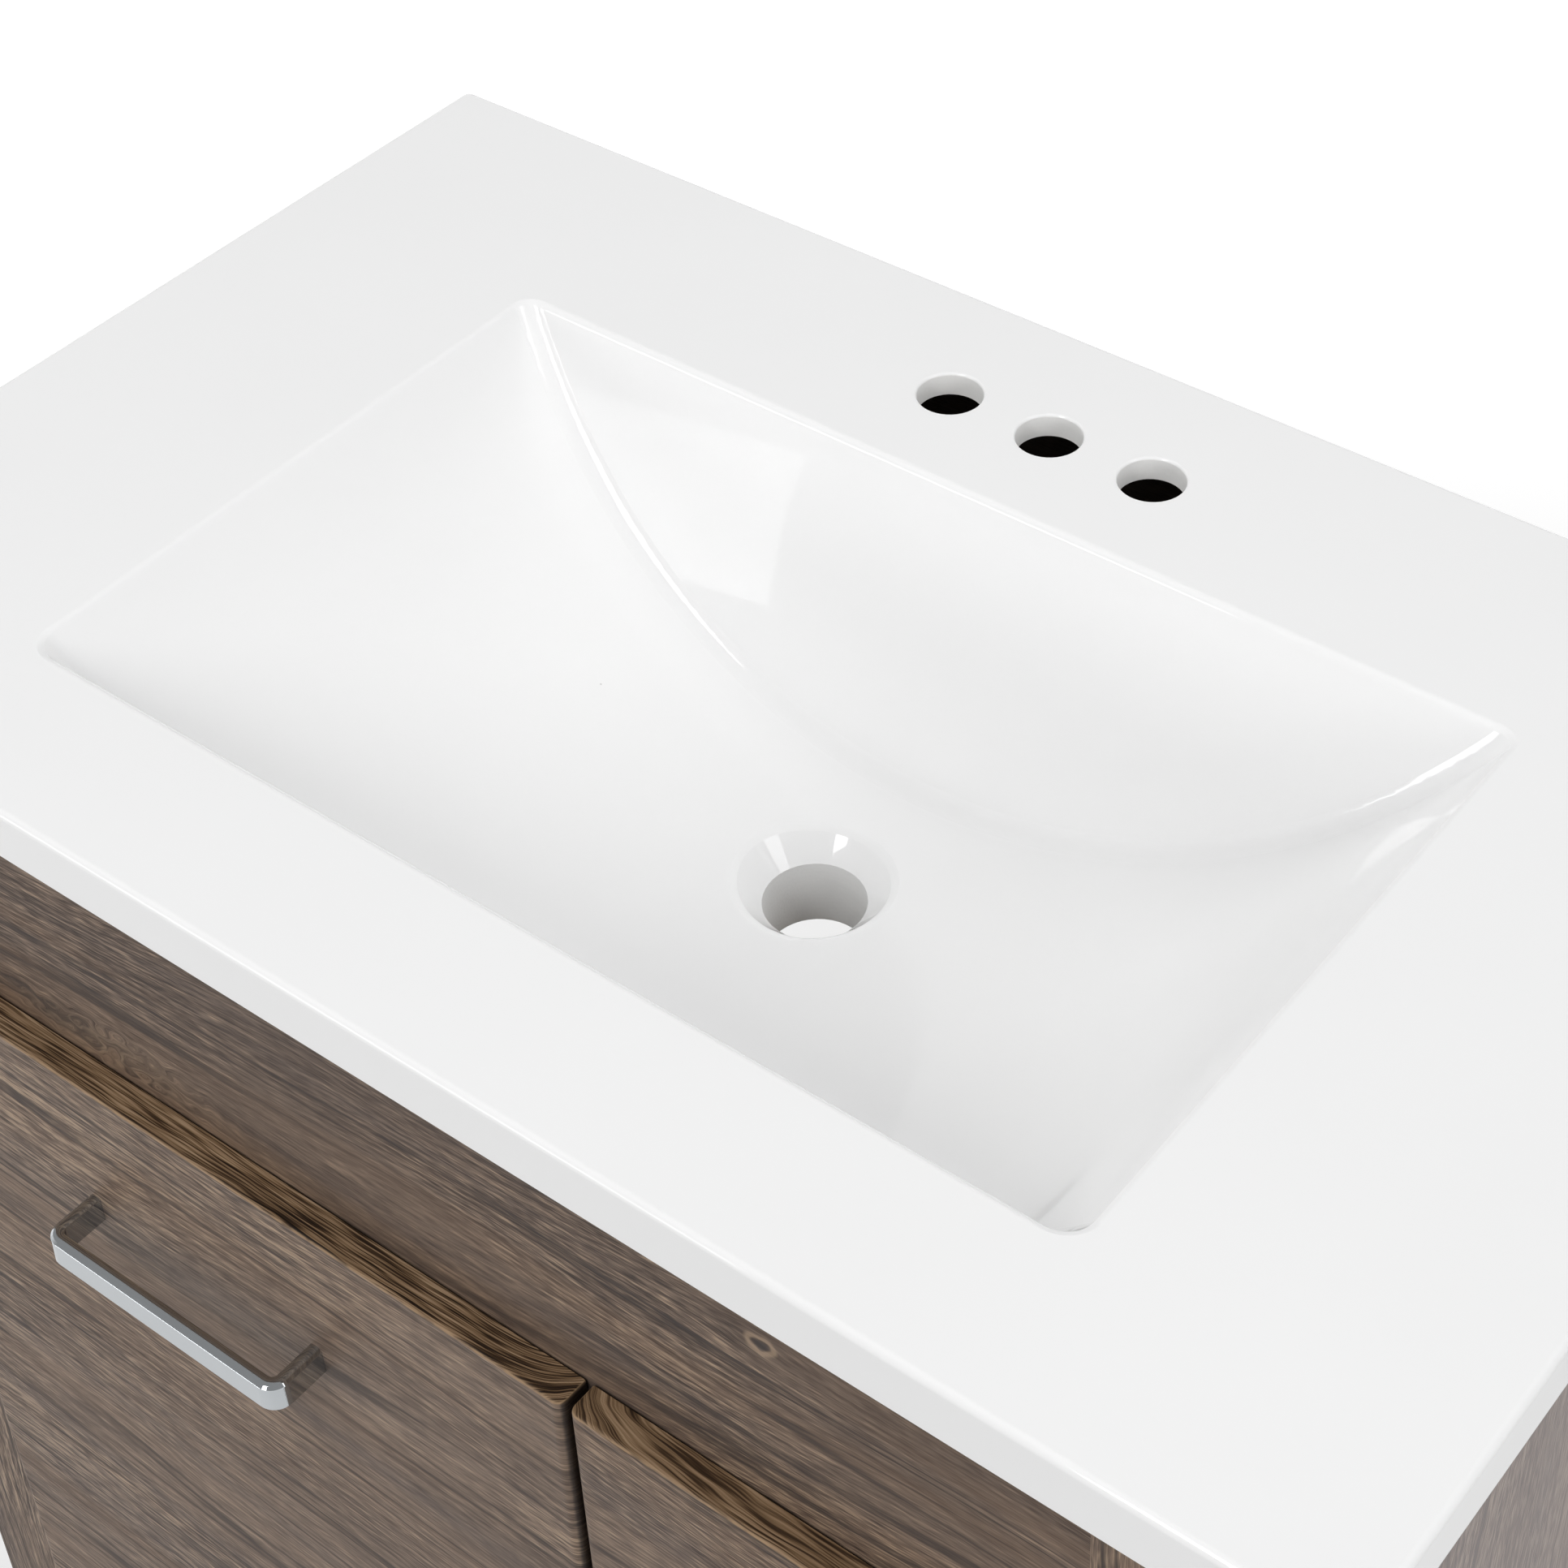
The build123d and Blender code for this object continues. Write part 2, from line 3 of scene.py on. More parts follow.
import bpy
from mathutils import Matrix, Vector


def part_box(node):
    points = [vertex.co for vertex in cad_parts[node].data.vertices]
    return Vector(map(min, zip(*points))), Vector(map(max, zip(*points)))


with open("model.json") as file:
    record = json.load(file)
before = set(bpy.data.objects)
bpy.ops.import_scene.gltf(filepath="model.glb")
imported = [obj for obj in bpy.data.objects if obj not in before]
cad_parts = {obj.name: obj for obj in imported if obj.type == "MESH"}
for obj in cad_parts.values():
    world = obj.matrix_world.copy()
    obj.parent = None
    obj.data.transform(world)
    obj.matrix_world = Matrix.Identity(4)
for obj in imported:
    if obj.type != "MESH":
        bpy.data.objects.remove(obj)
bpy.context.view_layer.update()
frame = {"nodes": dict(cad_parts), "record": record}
nodes = frame["nodes"]
slot_of = {row["node"]: row["material_slot"] for row in frame["record"]["subparts"]}
mounts = {row["name"]: row for row in frame["record"]["mounts"]}
top_low, top_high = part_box("sink_top")
scene = bpy.context.scene

# Noise: its middle value, and the steps in seed from one layer and from one piece to the next
MIDDLE = 0.5
LAYER_STEP = 2.3
PIECE_STEP = 3.7


def srgb(r, g, b):
    """A colour given as 0 to 255 display values, as linear RGBA."""
    c = [v / 255 for v in (r, g, b)]
    return tuple(v / 12.92 if v <= 0.04045 else ((v + 0.055) / 1.055) ** 2.4 for v in c) + (1.0,)


class Graph:
    """A node tree under construction, with short calls for its nodes."""

    def __init__(self, tree):
        self.tree = tree

    def node(self, kind):
        return self.tree.nodes.new(kind)

    def put(self, socket, value):
        """Links a socket to an output, or sets its constant."""
        if isinstance(value, bpy.types.NodeSocket):
            self.tree.links.new(value, socket)
        else:
            socket.default_value = value

    def feed(self, node, *values):
        """Puts values into a node's first sockets and returns its first output."""
        for socket, value in zip(node.inputs, values):
            self.put(socket, value)
        return node.outputs[0]

    def math(self, op, *values):
        n = self.node("ShaderNodeMath")
        n.operation = op
        return self.feed(n, *values)

    def add(self, *values):
        total = values[0]
        for v in values[1:]:
            total = self.math("ADD", total, v)
        return total

    def minus(self, a, b):
        return self.math("SUBTRACT", a, b)

    def times(self, a, b):
        return self.math("MULTIPLY", a, b)

    def ramp(self, value, low, high, start=0.0, end=1.0, kind="SMOOTHSTEP"):
        """Maps low..high of a value to start..end, held at both ends."""
        n = self.node("ShaderNodeMapRange")
        n.interpolation_type = kind
        return self.feed(n, value, low, high, start, end)

    def split(self, vector):
        n = self.node("ShaderNodeSeparateXYZ")
        self.put(n.inputs[0], vector)
        return n.outputs

    def vector(self, x, y, z):
        return self.feed(self.node("ShaderNodeCombineXYZ"), x, y, z)

    def seen(self):
        """1 for rays from the camera, from a reflection or through a clear piece."""
        path = self.node("ShaderNodeLightPath")
        value = path.outputs["Is Camera Ray"]
        for name in ("Is Glossy Ray", "Is Transmission Ray"):
            value = self.math("MAXIMUM", value, path.outputs[name])
        return value


class Surface(Graph):
    """A Principled material under construction, in the coordinates of its piece."""

    SOCKETS = {
        "color": "Base Color",
        "rough": "Roughness",
        "metal": "Metallic",
        "specular": "Specular IOR Level",
        "transmission": "Transmission Weight",
        "ior": "IOR",
    }

    def __init__(self, name):
        self.material = bpy.data.materials.new(name)
        self.material.use_nodes = True
        super().__init__(self.material.node_tree)
        self.shader = self.tree.nodes["Principled BSDF"]
        coords = self.node("ShaderNodeTexCoord")
        self.place = coords.outputs["Object"]
        self.x, self.y, self.z = self.split(self.place)
        self.nx, self.ny, self.nz = self.split(coords.outputs["Normal"])

    def noise(self, vector, scale=1.0, detail=2.0, rough=0.5):
        n = self.node("ShaderNodeTexNoise")
        self.put(n.inputs["Vector"], vector)
        n.inputs["Scale"].default_value = scale
        n.inputs["Detail"].default_value = detail
        n.inputs["Roughness"].default_value = rough
        return n.outputs["Fac"]

    def stretched(self, waves, detail, rough=0.5):
        """Noise with so many waves a metre along X, Y and Z."""
        scaled = [self.times(axis, count) for axis, count in zip((self.x, self.y, self.z), waves)]
        return self.noise(self.vector(*scaled), detail=detail, rough=rough)

    def grain(self, u, v, waves, seed, detail):
        """Noise with so many waves a metre along the grain, u, and across it, v."""
        along, across = waves
        return self.noise(self.vector(self.times(u, along), self.times(v, across), seed), detail=detail)

    def streaks(self, u, v, seed, layers):
        """Tone about the middle from layers of grain, each with its waves, detail and weight."""
        tone = MIDDLE
        for waves, detail, weight in layers:
            seed += LAYER_STEP
            layer = self.grain(u, v, waves, seed, detail)
            tone = self.add(tone, self.times(self.minus(layer, MIDDLE), weight))
        return tone

    def cells(self, vector, scale):
        n = self.node("ShaderNodeTexVoronoi")
        self.put(n.inputs["Vector"], vector)
        n.inputs["Scale"].default_value = scale
        return n.outputs

    def mix(self, factor, a, b, blend="MIX"):
        n = self.node("ShaderNodeMix")
        n.data_type = "RGBA"
        n.blend_type = blend
        self.put(n.inputs["Factor"], factor)
        self.put(n.inputs[6], a)
        self.put(n.inputs[7], b)
        return n.outputs[2]

    def shades(self, value, stops):
        """A colour ramp through (position, colour) stops."""
        n = self.node("ShaderNodeValToRGB")
        points = n.color_ramp.elements
        points[0].position, points[0].color = stops[0]
        points[1].position, points[1].color = stops[-1]
        for position, colour in stops[1:-1]:
            points.new(position).color = colour
        return self.feed(n, value)

    def bump(self, height, strength, distance):
        n = self.node("ShaderNodeBump")
        n.inputs["Strength"].default_value = strength
        n.inputs["Distance"].default_value = distance
        self.put(n.inputs["Height"], height)
        self.put(self.shader.inputs["Normal"], n.outputs[0])

    def set(self, **values):
        for key, value in values.items():
            self.put(self.shader.inputs[self.SOCKETS[key]], value)
        return self.material


# Foil: grey-brown wood print with fine streaks and dark hairlines, and a warmer upper edge on the fronts
FOIL_SHADES = (
    (0.00, srgb(54, 44, 38)),
    (0.30, srgb(84, 70, 61)),
    (0.50, srgb(103, 87, 75)),
    (0.70, srgb(127, 107, 91)),
    (1.00, srgb(169, 146, 122)),
)
FOIL_PALE = FOIL_SHADES[-1][1]
FOIL_WARM, FOIL_COOL, FOIL_LINE = srgb(118, 92, 70), srgb(82, 76, 76), srgb(48, 42, 41)
EDGE_SHADES = (
    (0.00, srgb(24, 15, 9)),
    (0.30, srgb(66, 49, 34)),
    (0.50, srgb(122, 98, 73)),
    (0.75, srgb(150, 124, 97)),
    (1.00, srgb(170, 145, 117)),
)
# Painted highlight for the fronts' upper arris, and painted shade for their upright side faces in the gaps
ARRIS_HIGHLIGHT, FRONT_GAP_SHADE = srgb(164, 136, 104), srgb(34, 25, 20)

# Layers of streaks: waves a metre along and across the grain, detail, weight
FOIL_LAYERS = (((1.3, 26.0), 2.0, 0.55), ((16.0, 390.0), 2.0, 0.5))
FOIL_PORES = (((65.0, 1000.0), 2.0, 1.65), ((140.0, 2100.0), 1.0, 0.95))
EDGE_FINE = (
    ((5.0, 60.0), 1.0, 0.6),
    ((25.0, 700.0), 2.0, 0.5),
    ((30.0, 1300.0), 1.0, 1.7),
    ((60.0, 2500.0), 0.0, 1.0),
)
EDGE_BOLD = (((4.0, 90.0), 1.0, 0.5), ((13.0, 560.0), 2.0, 0.9), ((30.0, 1300.0), 1.0, 1.6))

# The print's slow changes, as waves a metre along and across the grain, and how far each goes
SWAY_WAVES, SWAY_REACH = (2.2, 9.0), 0.05
CRISP_WAVES, CRISP_LEAST, CRISP_MOST = (5.0, 14.0), 0.55, 1.25
TINT_WAVES, TINT_SHARE = (2.0, 40.0), 0.2
LINE_WAVES, LINE_WIDTH, LINE_SHARE, LINE_DEPTH = (1.9, 80.0), 0.045, 0.7, 0.6
LINE_PATCH_WAVES = (3.4, 30.0)
CURL_WAVES, CURL_REACH, CURL_RIPPLES = (75.0, 110.0), 0.06, 5.0
EDGE_WAVES, EDGE_PATCHES = (14.0, 60.0), 120.0
DOOR_EDGE_SWAY, DRAWER_EDGE_SWAY = 0.005, 0.012
TURN_LENGTH, TURN_DEPTH = 0.014, 0.016

# Per board: slope of the grain, lightness, sheen and plainness; the side panels' lightness and grey are partly
# painted light
RAIL_TILT, FRONT_TILT = -0.04, 0.02
# The side panels' extra lightness is painted light, for the glancing light from the right on them
RAIL_SHADE, FRONT_SHADE, STILE_SHADE, SIDE_PAINTED_LIGHT = -0.04, 0.06, 0.08, 0.20
FOIL_SHEEN, SIDE_SHEEN = 0.2, 0.5
# The side panels' plain grey is partly a greyer print and partly painted sheen of the glancing light
SIDE_CALM_AND_SHEEN, SIDE_GREY_AND_SHEEN = 0.5, srgb(140, 133, 134)


def foil_print(g, u, v, seed, shade):
    """Colour and relief of the print at u metres along the grain and v metres across it; shade lightens it."""
    sway = g.grain(u, v, SWAY_WAVES, seed, 2.0)
    v = g.add(v, g.times(g.minus(sway, MIDDLE), SWAY_REACH))
    crisp = g.ramp(g.grain(u, v, CRISP_WAVES, seed + 27.1, 1.0), 0.35, 0.65, CRISP_LEAST, CRISP_MOST)
    pores = g.minus(g.streaks(u, v, seed + 9.0, FOIL_PORES), MIDDLE)
    tone = g.add(g.streaks(u, v, seed, FOIL_LAYERS), g.times(pores, crisp))
    colour = g.shades(g.add(tone, shade), FOIL_SHADES)
    tint = g.grain(u, v, TINT_WAVES, seed + 17.9, 2.0)
    colour = g.mix(g.times(g.ramp(tint, 0.50, 0.66), TINT_SHARE), colour, FOIL_WARM)
    colour = g.mix(g.times(g.ramp(tint, 0.50, 0.34), TINT_SHARE), colour, FOIL_COOL)
    contour = g.grain(u, v, LINE_WAVES, seed + 19.4, 1.0)
    where = g.grain(u, v, LINE_PATCH_WAVES, seed + 22.6, 1.0)
    line = g.ramp(g.math("ABSOLUTE", g.minus(contour, MIDDLE)), 0.0, LINE_WIDTH, 1.0, 0.0)
    line = g.times(line, g.ramp(where, 0.38, 0.52))
    colour = g.mix(g.times(line, LINE_SHARE), colour, FOIL_LINE)
    return colour, g.minus(tone, g.times(line, LINE_DEPTH))


def foil_finish(g, colour, relief, sheen):
    """The foil's low sheen, with its grain lightly embossed."""
    g.bump(relief, 0.3, 0.0003)
    return g.set(color=colour, rough=g.ramp(relief, 0.2, 0.8, 0.56, 0.44), specular=sheen)


def window(g, du, dv, half_u, half_v):
    """1 at a spot and 0 far from it, from the distances along and across the grain."""
    a, b = g.times(du, 1 / half_u), g.times(dv, 1 / half_v)
    return g.math("EXPONENT", g.times(g.add(g.times(a, a), g.times(b, b)), -1.0))


def foil(name, grain, seed, shade=0.0, tilt=0.0, knots=(), burls=(), sheen=FOIL_SHEEN, calm_and_sheen=0.0):
    """Foil on a straight board whose grain runs along X, with a slight tilt, or along Z.

    Knots are (along, across, radius) and burls (along, across, half length, half height). The calm share mixes the
    print toward a plain grey, which is partly a greyer print and partly painted sheen of glancing light.
    """
    g = Surface(name)
    if grain == "X":
        u, v = g.x, g.add(g.z, g.y, g.times(g.x, tilt))
    else:
        u, v = g.z, g.add(g.x, g.y)
    plain_u, plain_v = u, v
    arcs = []
    for along, across, radius in knots:
        du, dv = g.minus(plain_u, along), g.minus(plain_v, across)
        aside = g.times(window(g, du, dv, radius * 4, radius * 1.6), 0.75)
        v = g.minus(v, g.times(aside, dv))
    for along, across, half_u, half_v in burls:
        here = window(g, g.minus(plain_u, along), g.minus(plain_v, across), half_u, half_v)
        curl = g.grain(u, v, CURL_WAVES, seed + 31.0, 1.0)
        v = g.add(v, g.times(g.times(here, g.minus(curl, MIDDLE)), CURL_REACH))
        ripple = g.math("PINGPONG", g.times(curl, CURL_RIPPLES), 0.5)
        arcs.append(g.times(here, g.ramp(ripple, 0.20, 0.48, 0.10, 0.40)))
    colour, relief = foil_print(g, u, v, seed, shade)
    for arc in arcs:
        colour = g.mix(arc, colour, FOIL_PALE)
    for along, across, radius in knots:
        du, dv = g.minus(plain_u, along), g.minus(plain_v, across)
        far = g.math("SQRT", g.add(g.times(g.times(du, du), 0.55), g.times(dv, dv)))
        wobble = g.minus(g.noise(g.place, scale=160.0, detail=1.0), MIDDLE)
        far = g.times(g.add(far, g.times(wobble, radius * 0.8)), 1 / radius)
        ring = g.times(g.ramp(far, 0.55, 0.8), g.ramp(far, 1.35, 0.95))
        colour = g.mix(g.times(g.ramp(far, 0.75, 0.35), 0.8), colour, FOIL_LINE)
        colour = g.mix(g.times(ring, 0.55), colour, FOIL_PALE)
    # Partly painted sheen: the print is mixed toward a plain grey
    if calm_and_sheen:
        colour = g.mix(calm_and_sheen, colour, SIDE_GREY_AND_SHEEN)
    return foil_finish(g, colour, relief, sheen)


def front_foil(name, node, seed, edge_layers, edge_sway):
    """Foil wrapped over a front: level grain that runs round its upright edges, a warm, wavy upper edge, a painted
    highlight along the upper arris, and painted shade on the upright side faces in the gaps between fronts."""
    low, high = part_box(node)
    g = Surface(name)
    steep = g.math("ABSOLUTE", g.nz)
    upper = g.ramp(steep, 0.45, 0.8)
    back = g.minus(g.y, low.y)
    across = g.add(g.z, g.times(g.x, FRONT_TILT), g.times(upper, back))
    colour, relief = foil_print(g, g.add(g.x, back), across, seed, FRONT_SHADE)
    end = g.math("MINIMUM", g.minus(g.x, low.x), g.minus(high.x, g.x))
    turn = g.math("EXPONENT", g.times(end, -1 / TURN_LENGTH))
    sway = g.grain(g.x, back, EDGE_WAVES, seed + 41.0, 2.0)
    wave = g.minus(back, g.times(turn, TURN_DEPTH))
    wave = g.add(wave, g.times(g.minus(sway, MIDDLE), edge_sway))
    edge = g.shades(g.streaks(g.x, wave, seed + 43.0, edge_layers), EDGE_SHADES)
    colour = g.mix(upper, colour, edge)
    # Painted highlight: a pale, patchy line on the rounded upper arris, standing in for the lamps' glint there
    patchy = g.noise(g.vector(g.times(g.x, EDGE_PATCHES), 0.0, seed + 51.0), detail=2.0)
    arris = g.times(g.ramp(steep, 0.12, 0.45), g.ramp(steep, 0.92, 0.62))
    colour = g.mix(g.times(arris, g.ramp(patchy, 0.35, 0.6, 0.25, 0.8)), colour, ARRIS_HIGHLIGHT)
    # Painted shade: the upright side faces sit in the shaded gaps between the fronts, so they are darkened
    side = g.ramp(g.math("ABSOLUTE", g.nx), 0.62, 0.86)
    colour = g.mix(g.times(side, 0.8), colour, FRONT_GAP_SHADE)
    return foil_finish(g, colour, relief, FOIL_SHEEN)


# Casting: how far beyond a hole's radius its sawn wall reaches, and the waves of the saw's marks
SAWN_NEAR, SAWN_FAR = 0.0001, 0.0004
SAW_WAVES = (60.0, 60.0, 700.0)


def cast_white():
    """Glossy white casting: faint unevenness, rare specks, sawn hole walls and a dull underside."""
    g = Surface("cast_white")
    cloud = g.noise(g.place, scale=9.0, detail=3.0)
    colour = g.mix(cloud, srgb(243, 243, 243), srgb(246, 246, 246))
    spots = g.cells(g.place, 17.0)
    chosen = g.ramp(g.noise(g.place, scale=6.1, detail=0.0), 0.60, 0.66)
    speck = g.times(g.ramp(spots["Distance"], 0.006, 0.014, 1.0, 0.0), chosen)
    colour = g.mix(g.times(speck, 0.5), colour, srgb(150, 148, 144))
    reach = mounts["faucet_outer_holes"]["dims"]["spacing_x_mm"] / 2000
    holes = [(mounts["drain_hole"], 0.0)]
    holes += [(mounts["faucet_middle_hole"], side * reach) for side in (-1, 0, 1)]
    sawn = 0.0
    for hole, aside in holes:
        dx, dy = g.minus(g.x, hole["pos_m"][0] + aside), g.minus(g.y, hole["pos_m"][1])
        far = g.math("SQRT", g.add(g.times(dx, dx), g.times(dy, dy)))
        radius = hole["dims"]["r_mm"] / 1000
        sawn = g.math("MAXIMUM", sawn, g.ramp(far, radius + SAWN_NEAR, radius + SAWN_FAR, 1.0, 0.0))
    sawn = g.times(sawn, g.ramp(g.math("ABSOLUTE", g.nz), 0.25, 0.4, 1.0, 0.0))
    grit = g.noise(g.place, scale=900.0, detail=4.0, rough=0.7)
    rings = g.stretched(SAW_WAVES, detail=3.0)
    cut = g.mix(g.add(g.times(grit, 0.6), g.times(rings, 0.4)), srgb(236, 236, 235), srgb(248, 248, 247))
    colour = g.mix(sawn, colour, cut)
    dull = g.ramp(g.nz, -0.12, -0.02, 1.0, 0.0)
    stain = g.noise(g.place, scale=38.0, detail=5.0, rough=0.65)
    colour = g.mix(dull, colour, g.mix(stain, srgb(206, 203, 196), srgb(228, 226, 221)))
    matt = g.math("MAXIMUM", sawn, dull)
    wipe = g.noise(g.place, scale=14.0, detail=4.0, rough=0.6)
    gloss = g.ramp(wipe, 0.3, 0.7, 0.02, 0.06)
    rough = g.math("MAXIMUM", gloss, g.times(matt, 0.7))
    g.bump(g.add(g.times(matt, grit), g.times(cloud, 0.02)), 0.25, 0.0006)
    return g.set(color=colour, rough=rough, specular=0.5)


def chrome():
    """Polished plating with a trace of wiping marks."""
    g = Surface("polished_chrome")
    wipe = g.noise(g.place, scale=60.0, detail=4.0, rough=0.65)
    rough = g.ramp(wipe, 0.3, 0.75, 0.03, 0.09)
    colour = g.mix(wipe, srgb(184, 188, 191), srgb(192, 196, 199))
    return g.set(color=colour, metal=1.0, rough=rough)


def dark_board():
    """Near-black foil on the back rails, with a trace of grain."""
    g = Surface("dark_board")
    tone = g.streaks(g.x, g.add(g.z, g.y), 2.0, FOIL_LAYERS + FOIL_PORES)
    colour = g.mix(tone, srgb(14, 12, 11), srgb(30, 26, 23))
    g.bump(tone, 0.2, 0.0003)
    return g.set(color=colour, rough=g.ramp(tone, 0.2, 0.8, 0.62, 0.5), specular=0.2)


def zinc():
    """Zinc-plated steel with faint spangle and rolling lines."""
    g = Surface("zinc_steel")
    spangle = g.cells(g.place, 320.0)["Color"]
    lines = g.stretched((1500.0, 12.0, 1500.0), detail=2.0)
    colour = g.mix(0.18, g.mix(lines, srgb(168, 172, 176), srgb(198, 200, 203)), spangle, "SOFT_LIGHT")
    return g.set(color=colour, metal=1.0, rough=g.ramp(lines, 0.3, 0.7, 0.28, 0.42))


def board():
    """Bare fibreboard: tan with fine flecks and soft clouds."""
    g = Surface("bare_board")
    fleck = g.noise(g.place, scale=700.0, detail=4.0, rough=0.7)
    chips = g.stretched((160.0, 160.0, 220.0), detail=3.0, rough=0.6)
    cloud = g.noise(g.place, scale=7.0, detail=2.0)
    tone = g.add(g.times(fleck, 0.4), g.times(chips, 0.35), g.times(cloud, 0.25))
    colour = g.mix(g.ramp(tone, 0.38, 0.62), srgb(178, 146, 106), srgb(214, 187, 148))
    g.bump(fleck, 0.2, 0.0002)
    return g.set(color=colour, rough=g.ramp(tone, 0.3, 0.7, 0.62, 0.78), specular=0.3)


def rubber():
    """Soft clear bumper rubber, slightly hazy."""
    g = Surface("clear_rubber")
    haze = g.noise(g.place, scale=500.0, detail=3.0)
    colour = g.mix(haze, srgb(214, 214, 208), srgb(232, 232, 228))
    return g.set(color=colour, rough=g.ramp(haze, 0.3, 0.7, 0.30, 0.45), transmission=0.6, ior=1.45)


# Materials go on by the record's slots, with the grain of each board in its own direction
by_slot = {
    "cast_white": cast_white(),
    "polished_chrome": chrome(),
    "zinc_steel": zinc(),
    "bare_board": board(),
    "dark_board": dark_board(),
    "clear_rubber": rubber(),
}
uprights = ("stile_left", "stile_right", "mullion")
drawer_fronts = ("upper_drawer_front", "lower_drawer_front")

# The rail's knot and burl, in metres: X and Z, then the radius, or half the length and half the height
KNOT_PLACE, KNOT_SIZE = (0.166, 0.823), (0.0045,)
BURL_PLACE, BURL_SIZE = (-0.159, 0.750), (0.045, 0.010)
rail_low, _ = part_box("top_rail")


def on_rail(x, z):
    """A place on the rail's front face, as distances along and across its tilted grain."""
    return x, z + rail_low.y + x * RAIL_TILT


rail_knots = [on_rail(*KNOT_PLACE) + KNOT_SIZE]
rail_burls = [on_rail(*BURL_PLACE) + BURL_SIZE]
for order, (name, obj) in enumerate(sorted(nodes.items())):
    seed = PIECE_STEP * order
    if slot_of[name] != "wood_foil":
        material = by_slot[slot_of[name]]
    elif name == "door_panel":
        material = front_foil(f"foil_{name}", name, seed, EDGE_FINE, DOOR_EDGE_SWAY)
    elif name in drawer_fronts:
        material = front_foil(f"foil_{name}", name, seed, EDGE_BOLD, DRAWER_EDGE_SWAY)
    # Side panels: lightened by painted light, and greyed partly by painted sheen
    elif name.startswith("side_panel"):
        material = foil(f"foil_{name}", "Z", seed, SIDE_PAINTED_LIGHT, sheen=SIDE_SHEEN, calm_and_sheen=SIDE_CALM_AND_SHEEN)
    elif name in uprights:
        material = foil(f"foil_{name}", "Z", seed, STILE_SHADE)
    elif name == "top_rail":
        material = foil(f"foil_{name}", "X", seed, RAIL_SHADE, RAIL_TILT, rail_knots, rail_burls)
    else:
        material = foil(f"foil_{name}", "X", seed)
    obj.data.materials.clear()
    obj.data.materials.append(material)

# Floor: pale and matt, so that it takes the object's shadow, with a glow for seen rays that turns it white far off
FLOOR_SIZE, FLOOR_DROP = 14.0, 0.0005
FLOOR_COLOUR = (0.50, 0.50, 0.50, 1.0)
FLOOR_NEAR, FLOOR_FAR = 0.8, 2.6
GLOW_NEAR, GLOW_FAR = 0.48, 0.95


def floor_material():
    """A matt surface with an added glow that grows with the distance from the middle."""
    material = bpy.data.materials.new("floor")
    material.use_nodes = True
    g = Graph(material.node_tree)
    g.tree.nodes.clear()
    matt = g.node("ShaderNodeBsdfDiffuse")
    matt.inputs["Color"].default_value = FLOOR_COLOUR
    away = g.node("ShaderNodeVectorMath")
    away.operation = "LENGTH"
    g.put(away.inputs[0], g.node("ShaderNodeTexCoord").outputs["Object"])
    level = g.ramp(away.outputs["Value"], FLOOR_NEAR, FLOOR_FAR, GLOW_NEAR, GLOW_FAR, "LINEAR")
    glow = g.node("ShaderNodeEmission")
    g.put(glow.inputs["Strength"], g.times(g.seen(), level))
    both = g.feed(g.node("ShaderNodeAddShader"), matt.outputs[0], glow.outputs[0])
    g.put(g.node("ShaderNodeOutputMaterial").inputs["Surface"], both)
    return material


bpy.ops.mesh.primitive_plane_add(size=FLOOR_SIZE, location=(0.0, 0.0, -FLOOR_DROP))
floor = bpy.context.object
floor.name = "floor"
floor.data.materials.append(floor_material())

# World: plain white to the camera; to reflections white below the horizon and grey above it; weaker as fill light
FILL, CEILING = 0.59, 0.40
HORIZON, HIGH_UP = 0.02, 0.30
world = bpy.data.worlds.new("studio")
scene.world = world
world.use_nodes = True
sky = Graph(world.node_tree)
backdrop = sky.tree.nodes["Background"]
height = sky.split(sky.node("ShaderNodeTexCoord").outputs["Generated"])["Z"]
grey = sky.ramp(height, HORIZON, HIGH_UP, 1.0, CEILING, "LINEAR")
to_camera = sky.node("ShaderNodeLightPath").outputs["Is Camera Ray"]
sky.put(backdrop.inputs["Color"], sky.math("MAXIMUM", grey, to_camera))
sky.put(backdrop.inputs["Strength"], sky.ramp(sky.seen(), 0.0, 1.0, FILL, 1.0, "LINEAR"))

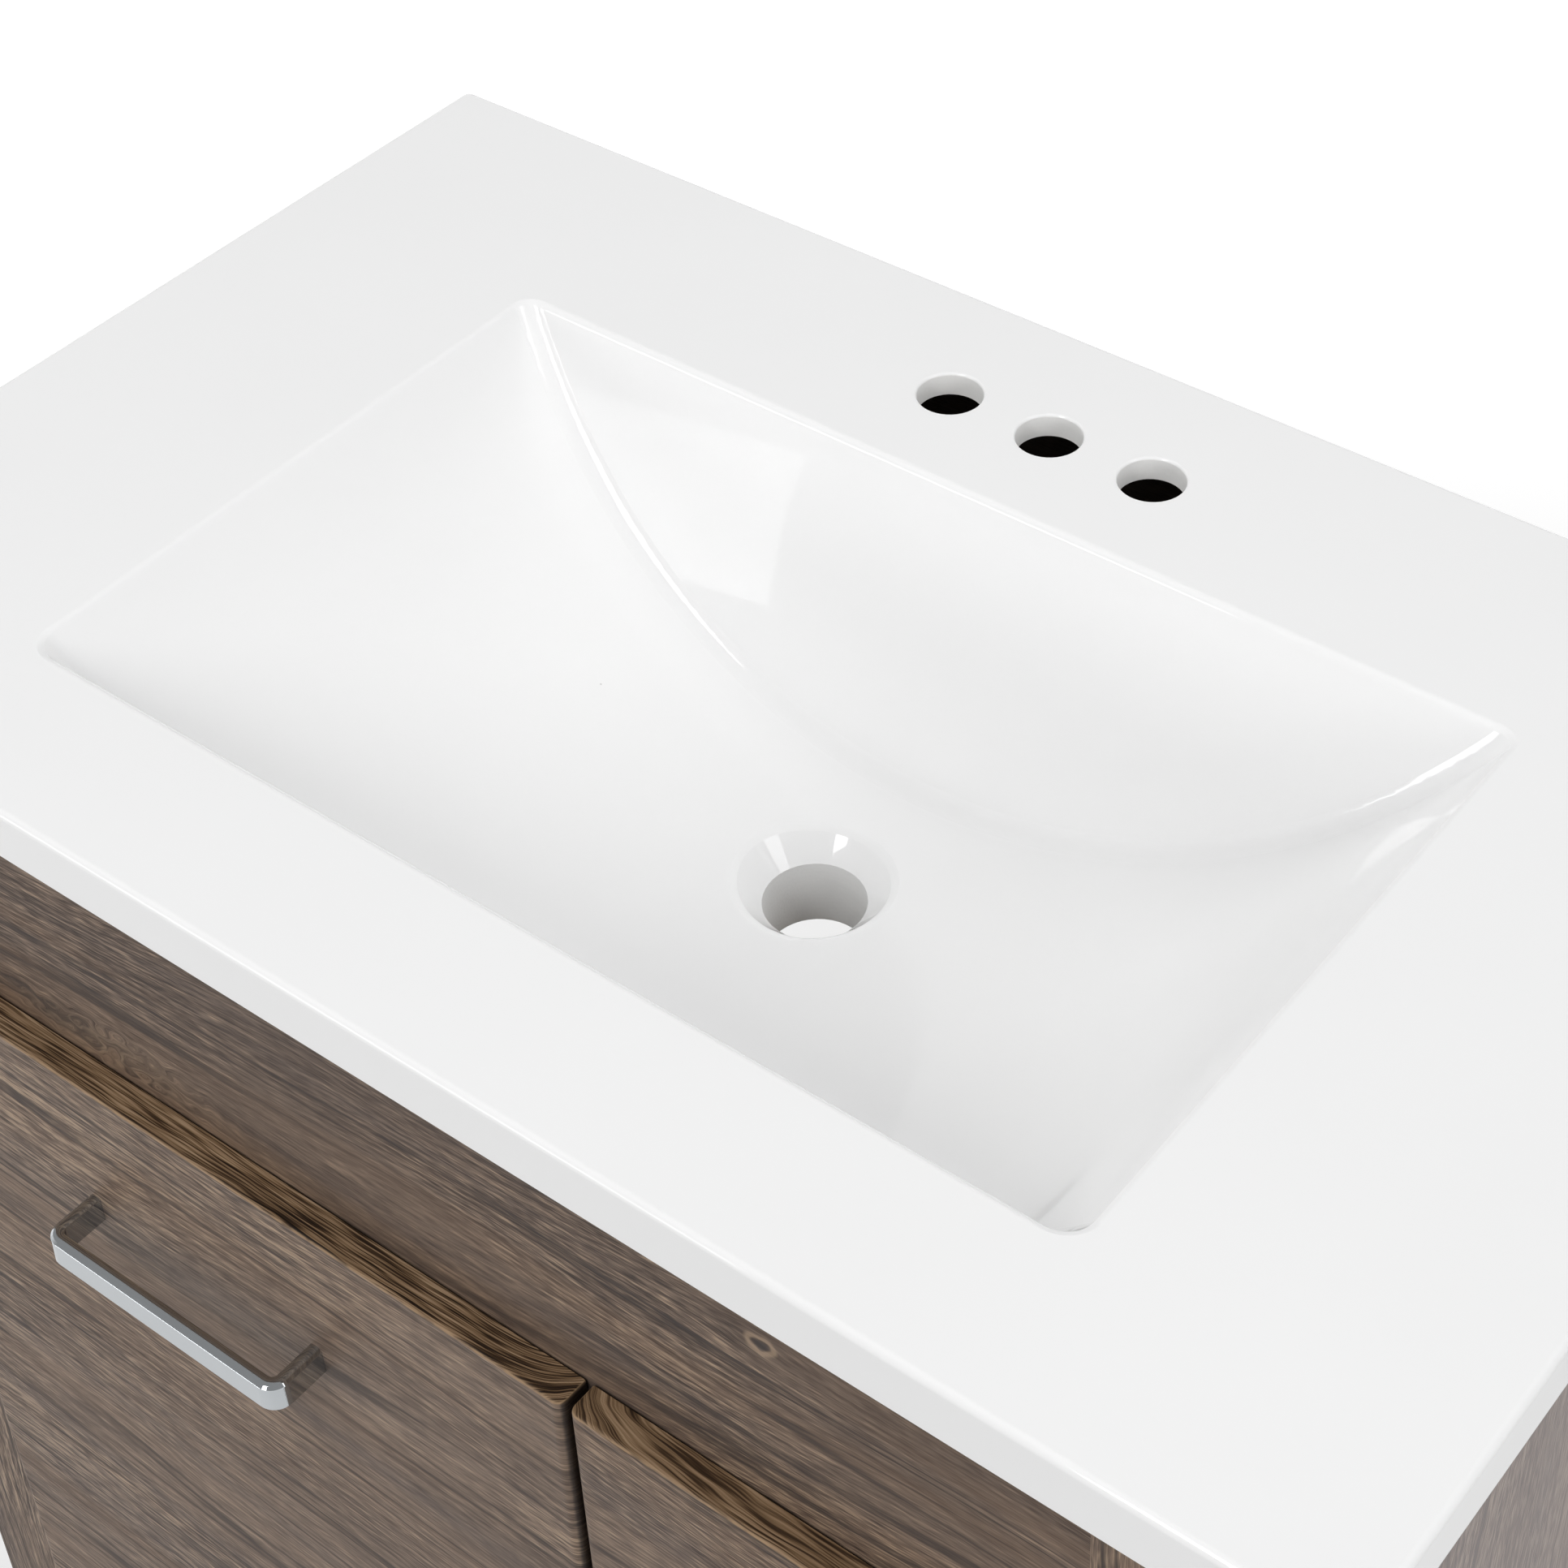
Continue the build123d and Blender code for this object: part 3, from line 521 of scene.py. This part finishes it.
# Lamps: direction from the top, distance, size, watts, and whether reflections show it; the shown ones stand where
# the photograph's highlights put them
LAMPS = {
    "overhead": ((0.05, 0.08, 0.99), 3.9, (3.6, 3.6), 52.0, False),
    "right": ((0.82, 0.12, 0.55), 4.2, (1.35, 1.95), 27.0, True),
    "right_low": ((0.93, -0.25, 0.25), 4.2, (1.5, 1.5), 35.0, False),
    "front": ((-0.08, -0.79, 0.60), 4.2, (1.2, 2.1), 65.0, True),
    "front_left": ((-0.53, -0.84, 0.105), 4.2, (1.6, 0.62), 18.0, True),
    "back_left": ((-0.55, 0.60, 0.60), 4.2, (1.8, 1.8), 34.0, False),
}


def lamp(name, towards, away, size, watts, shown):
    """A soft box that faces the middle of the top."""
    light = bpy.data.lights.new(name, "AREA")
    light.shape = "RECTANGLE"
    light.size, light.size_y = size
    light.energy = watts
    obj = bpy.data.objects.new(name, light)
    line = Vector(towards).normalized()
    obj.location = Vector((0.0, 0.0, top_high.z)) + away * line
    obj.rotation_euler = (-line).to_track_quat("-Z", "Y").to_euler()
    obj.visible_glossy = shown
    scene.collection.objects.link(obj)


for name, row in LAMPS.items():
    lamp(name, *row)

# Camera, solved from the edges and holes of the top in the photograph: its axes, its place from the top's rear left
# corner, and its lens
CAMERA_RIGHT = Vector((0.7933, 0.6082, -0.0255))
CAMERA_DOWN = Vector((0.3793, -0.5266, -0.7608))
CAMERA_AHEAD = Vector((-0.4764, 0.5937, -0.6485))
CAMERA_FROM_CORNER = Vector((0.9718, -0.9370, 0.7926))
SENSOR, LENS, SHIFT_X, SHIFT_Y, CLIP = 36.0, 72.46, -0.0356, -0.1027, 0.05
camera = bpy.data.objects.new("camera", bpy.data.cameras.new("camera"))
scene.collection.objects.link(camera)
axes = Matrix((CAMERA_RIGHT, -CAMERA_DOWN, -CAMERA_AHEAD)).transposed().to_4x4()
corner = Vector((top_low.x, top_high.y, top_high.z))
camera.matrix_world = Matrix.Translation(corner + CAMERA_FROM_CORNER) @ axes
camera.data.sensor_width = SENSOR
camera.data.lens = LENS
camera.data.shift_x = SHIFT_X
camera.data.shift_y = SHIFT_Y
camera.data.clip_start = CLIP
scene.camera = camera
scene.view_settings.view_transform = "Standard"
